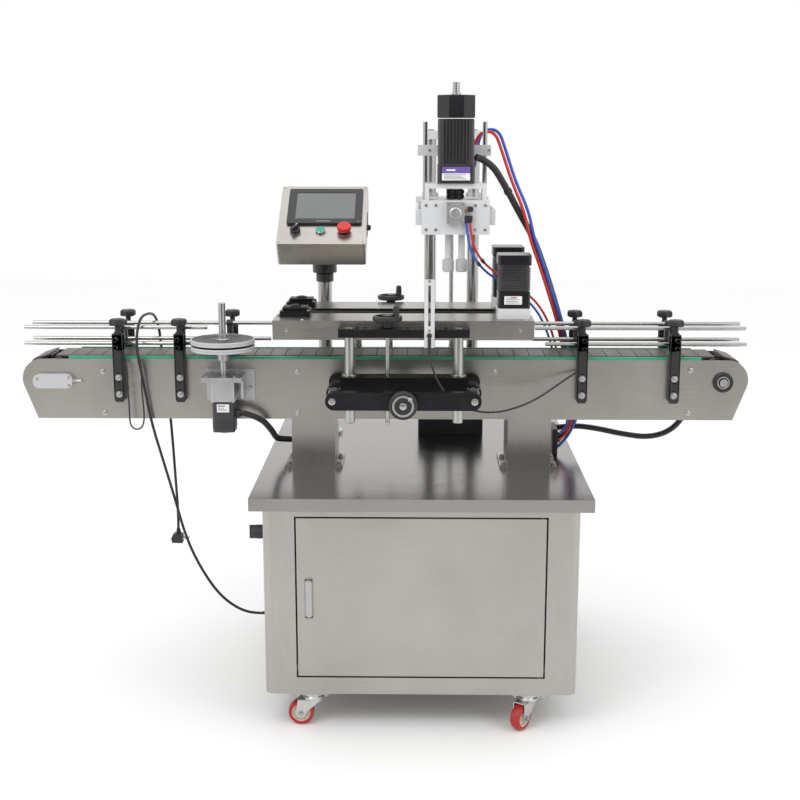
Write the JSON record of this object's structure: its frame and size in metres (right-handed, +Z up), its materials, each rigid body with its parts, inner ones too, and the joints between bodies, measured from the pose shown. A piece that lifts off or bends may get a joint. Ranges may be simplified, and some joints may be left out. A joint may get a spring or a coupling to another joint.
{
  "type": "capping machine",
  "caption": "Inline bottle capping machine: slat conveyor on a castored stainless cabinet, side belt clamps, rotary capping head and tilted operator panel.",
  "frame": {"origin": "on the floor, midway along the conveyor and midway through the depth of the table", "axes": "+X along the conveyor, +Y to the back, +Z up"},
  "size_m": [1.7998, 0.83, 1.53],
  "materials": {
    "stainless": "brushed",
    "polished_steel": "polished",
    "aluminium_plate": "anodised",
    "white_paint": "satin",
    "black_paint": "satin",
    "black_plastic": "moulded",
    "chain_plastic": "moulded",
    "green_strip": "smooth",
    "belt_rubber": "matte",
    "caster_tyre": "satin",
    "zinc": "zinc plated",
    "grey_disc": "matte",
    "green_button": "gloss",
    "red_button": "gloss",
    "red_tube": "smooth",
    "cable_black": "matte"
  },
  "bodies": {
    "root": {"cabinet_frame": "stainless", "cabinet_panels": "stainless", "table_top": "stainless", "electrical_panel": "white_paint", "conveyor_legs": "stainless", "conveyor_frame": "stainless", "conveyor_fittings": "zinc", "wear_strips": "green_strip", "slat_chain": "chain_plastic", "conveyor_drive_motor": "black_paint", "rail_brackets": "black_plastic", "disc_bracket": "aluminium_plate", "disc_motor": "black_paint", "slide_rods": "polished_steel", "head_columns": "polished_steel", "panel_pole": "stainless", "mains_cord": "cable_black", "mains_plug": "black_plastic", "cables_and_conduits": "cable_black", "air_tubes": "red_tube"},
    "door": {"door": "stainless"},
    "door_handle": {"door_handle": "stainless"},
    "main_switch": {"main_switch_knob": "black_plastic"},
    "drive_shaft": {"drive_shaft": "polished_steel"},
    "idler_shaft": {"idler_shaft": "polished_steel"},
    "front_rails": {"guide_rails_front": "polished_steel"},
    "rear_rails": {"guide_rails_rear": "polished_steel"},
    "spacing_disc": {"spacing_disc": "grey_disc"},
    "gap_dial": {"gap_dial": "black_plastic"},
    "carriage": {"carriage": "white_paint"},
    "lift_screw": {"lift_screw": "polished_steel"},
    "head": {"head_block": "white_paint", "capping_motor": "black_paint"},
    "spindle": {"spindle": "polished_steel"},
    "finger_left": {"finger_left": "black_plastic"},
    "finger_right": {"finger_right": "black_plastic"},
    "panel": {"panel_box": "stainless"},
    "selector": {"selector": "black_plastic"},
    "start_button": {"start_button": "green_button"},
    "emergency_stop": {"emergency_stop": "red_button"},
    "front_slide": {"front_slide_block": "black_paint"},
    "front_lift": {"front_lift_frame": "polished_steel", "front_belt_cover": "stainless", "front_belt_motor": "black_paint", "front_grip_belt": "belt_rubber"},
    "front_lift_wheel": {"front_lift_wheel": "black_plastic"},
    "rear_slide": {"rear_slide_block": "black_paint"},
    "rear_lift": {"rear_lift_frame": "polished_steel", "rear_belt_cover": "stainless", "rear_belt_motor": "black_paint", "rear_grip_belt": "belt_rubber"},
    "rear_lift_wheel": {"rear_lift_wheel": "black_plastic"},
    "front_left_caster": {"front_left_caster_fork": "zinc"},
    "front_left_wheel": {"front_left_caster_wheel": "caster_tyre"},
    "front_right_caster": {"front_right_caster_fork": "zinc"},
    "front_right_wheel": {"front_right_caster_wheel": "caster_tyre"},
    "rear_left_caster": {"rear_left_caster_fork": "zinc"},
    "rear_left_wheel": {"rear_left_caster_wheel": "caster_tyre"},
    "rear_right_caster": {"rear_right_caster_fork": "zinc"},
    "rear_right_wheel": {"rear_right_caster_wheel": "caster_tyre"}
  },
  "joints": [
    {"name": "door_hinge", "type": "hinge", "parent": "root", "child": "door", "pos_m": [0.3775, -0.385, 0.33], "axis": [0, 0, 1], "range_deg": [0, 110]},
    {"name": "door_handle_turn", "type": "hinge", "parent": "door", "child": "door_handle", "pos_m": [-0.1715, -0.393, 0.372], "axis": [0, -1, 0], "range_deg": [0, 90]},
    {"name": "main_switch_turn", "type": "hinge", "parent": "root", "child": "main_switch", "pos_m": [-0.3, -0.28, 0.462], "axis": [1, 0, 0], "range_deg": [0, 90]},
    {"name": "front_left_swivel", "type": "hinge", "parent": "root", "child": "front_left_caster", "pos_m": [-0.167, -0.358, 0.08], "axis": [0, 0, 1], "continuous": true},
    {"name": "front_left_roll", "type": "hinge", "parent": "front_left_caster", "child": "front_left_wheel", "pos_m": [-0.197, -0.358, 0.0315], "axis": [0, -1, 0], "continuous": true},
    {"name": "front_right_swivel", "type": "hinge", "parent": "root", "child": "front_right_caster", "pos_m": [0.353, -0.358, 0.08], "axis": [0, 0, 1], "continuous": true},
    {"name": "front_right_roll", "type": "hinge", "parent": "front_right_caster", "child": "front_right_wheel", "pos_m": [0.33495, -0.38196, 0.0315], "axis": [0.7986, -0.6018, 0], "continuous": true},
    {"name": "rear_left_swivel", "type": "hinge", "parent": "root", "child": "rear_left_caster", "pos_m": [-0.167, 0.358, 0.08], "axis": [0, 0, 1], "continuous": true},
    {"name": "rear_left_roll", "type": "hinge", "parent": "rear_left_caster", "child": "rear_left_wheel", "pos_m": [-0.19519, 0.36826, 0.0315], "axis": [-0.342, -0.9397, 0], "continuous": true},
    {"name": "rear_right_swivel", "type": "hinge", "parent": "root", "child": "rear_right_caster", "pos_m": [0.353, 0.358, 0.08], "axis": [0, 0, 1], "continuous": true},
    {"name": "rear_right_roll", "type": "hinge", "parent": "rear_right_caster", "child": "rear_right_wheel", "pos_m": [0.32481, 0.34774, 0.0315], "axis": [0.342, -0.9397, 0], "continuous": true},
    {"name": "drive_shaft_turn", "type": "hinge", "parent": "root", "child": "drive_shaft", "pos_m": [0.838, -0.064, 0.806], "axis": [0, 1, 0], "continuous": true},
    {"name": "idler_shaft_turn", "type": "hinge", "parent": "root", "child": "idler_shaft", "pos_m": [-0.838, -0.064, 0.806], "axis": [0, 1, 0], "continuous": true},
    {"name": "front_rails_slide", "type": "slide", "parent": "root", "child": "front_rails", "axis": [0, -1, 0], "range_m": [-0.01, 0.018]},
    {"name": "rear_rails_slide", "type": "slide", "parent": "root", "child": "rear_rails", "axis": [0, 1, 0], "range_m": [-0.01, 0.018]},
    {"name": "spacing_disc_turn", "type": "hinge", "parent": "root", "child": "spacing_disc", "pos_m": [-0.391, -0.18, 0.9], "axis": [0, 0, 1], "continuous": true},
    {"name": "gap_dial_turn", "type": "hinge", "parent": "root", "child": "gap_dial", "pos_m": [0.051, -0.4, 0.802], "axis": [0, 1, 0], "range_deg": [-725, 1805]},
    {"name": "front_slide_move", "type": "slide", "parent": "root", "child": "front_slide", "axis": [0, -1, 0], "range_m": [-0.02, 0.05]},
    {"name": "rear_slide_move", "type": "slide", "parent": "root", "child": "rear_slide", "axis": [0, 1, 0], "range_m": [-0.02, 0.05]},
    {"name": "front_lift_move", "type": "slide", "parent": "front_slide", "child": "front_lift", "axis": [0, 0, 1], "range_m": [-0.012, 0.02]},
    {"name": "front_lift_wheel_turn", "type": "hinge", "parent": "front_lift", "child": "front_lift_wheel", "pos_m": [0.012, -0.258, 0.98], "axis": [0, 0, 1], "range_deg": [-1085, 1805]},
    {"name": "rear_lift_move", "type": "slide", "parent": "rear_slide", "child": "rear_lift", "axis": [0, 0, 1], "range_m": [-0.012, 0.02]},
    {"name": "rear_lift_wheel_turn", "type": "hinge", "parent": "rear_lift", "child": "rear_lift_wheel", "pos_m": [0.012, 0.13, 0.98], "axis": [0, 0, 1], "range_deg": [-1085, 1805]},
    {"name": "lift_screw_turn", "type": "hinge", "parent": "root", "child": "lift_screw", "pos_m": [0.175, 0.27, 1.42], "axis": [0, 0, 1], "range_deg": [-1445, 2165]},
    {"name": "carriage_lift", "type": "slide", "parent": "root", "child": "carriage", "axis": [0, 0, 1], "range_m": [-0.04, 0.06], "deforming": ["cables_and_conduits", "air_tubes"]},
    {"name": "head_stroke", "type": "slide", "parent": "carriage", "child": "head", "axis": [0, 0, 1], "range_m": [-0.045, 0]},
    {"name": "spindle_turn", "type": "hinge", "parent": "head", "child": "spindle", "pos_m": [0.175, -0.064, 1.2], "axis": [0, 0, 1], "continuous": true},
    {"name": "finger_left_grip", "type": "slide", "parent": "spindle", "child": "finger_left", "axis": [-1, 0, 0], "range_m": [-0.0015, 0.004]},
    {"name": "finger_right_grip", "type": "slide", "parent": "spindle", "child": "finger_right", "axis": [1, 0, 0], "range_m": [-0.0015, 0.004]},
    {"name": "panel_swivel", "type": "hinge", "parent": "root", "child": "panel", "pos_m": [-0.172, 0.25, 1.045], "axis": [0, 0, 1], "range_deg": [-60, 60]},
    {"name": "selector_turn", "type": "hinge", "parent": "panel", "child": "selector", "pos_m": [-0.242, 0.15331, 1.15374], "axis": [0, -0.5592, 0.829], "range_deg": [-45, 45]},
    {"name": "start_button_press", "type": "slide", "parent": "panel", "child": "start_button", "axis": [0, 0.5592, -0.829], "range_m": [0, 0.0015], "stiffness_N_per_m": 400, "springref_m": -0.002},
    {"name": "emergency_stop_press", "type": "slide", "parent": "panel", "child": "emergency_stop", "axis": [0, 0.5592, -0.829], "range_m": [0, 0.005], "stiffness_N_per_m": 400, "springref_m": -0.004}
  ],
  "couplings": [
    {"joint": "idler_shaft_turn", "follows": "drive_shaft_turn", "ratio": 1},
    {"joint": "gap_dial_turn", "follows": "front_slide_move", "rad_per_m": 628.32},
    {"joint": "rear_slide_move", "follows": "front_slide_move", "ratio": 1},
    {"joint": "front_lift_wheel_turn", "follows": "front_lift_move", "rad_per_m": 1570.8},
    {"joint": "rear_lift_wheel_turn", "follows": "rear_lift_move", "rad_per_m": 1570.8},
    {"joint": "lift_screw_turn", "follows": "carriage_lift", "rad_per_m": 628.32},
    {"joint": "finger_right_grip", "follows": "finger_left_grip", "ratio": 1}
  ]
}
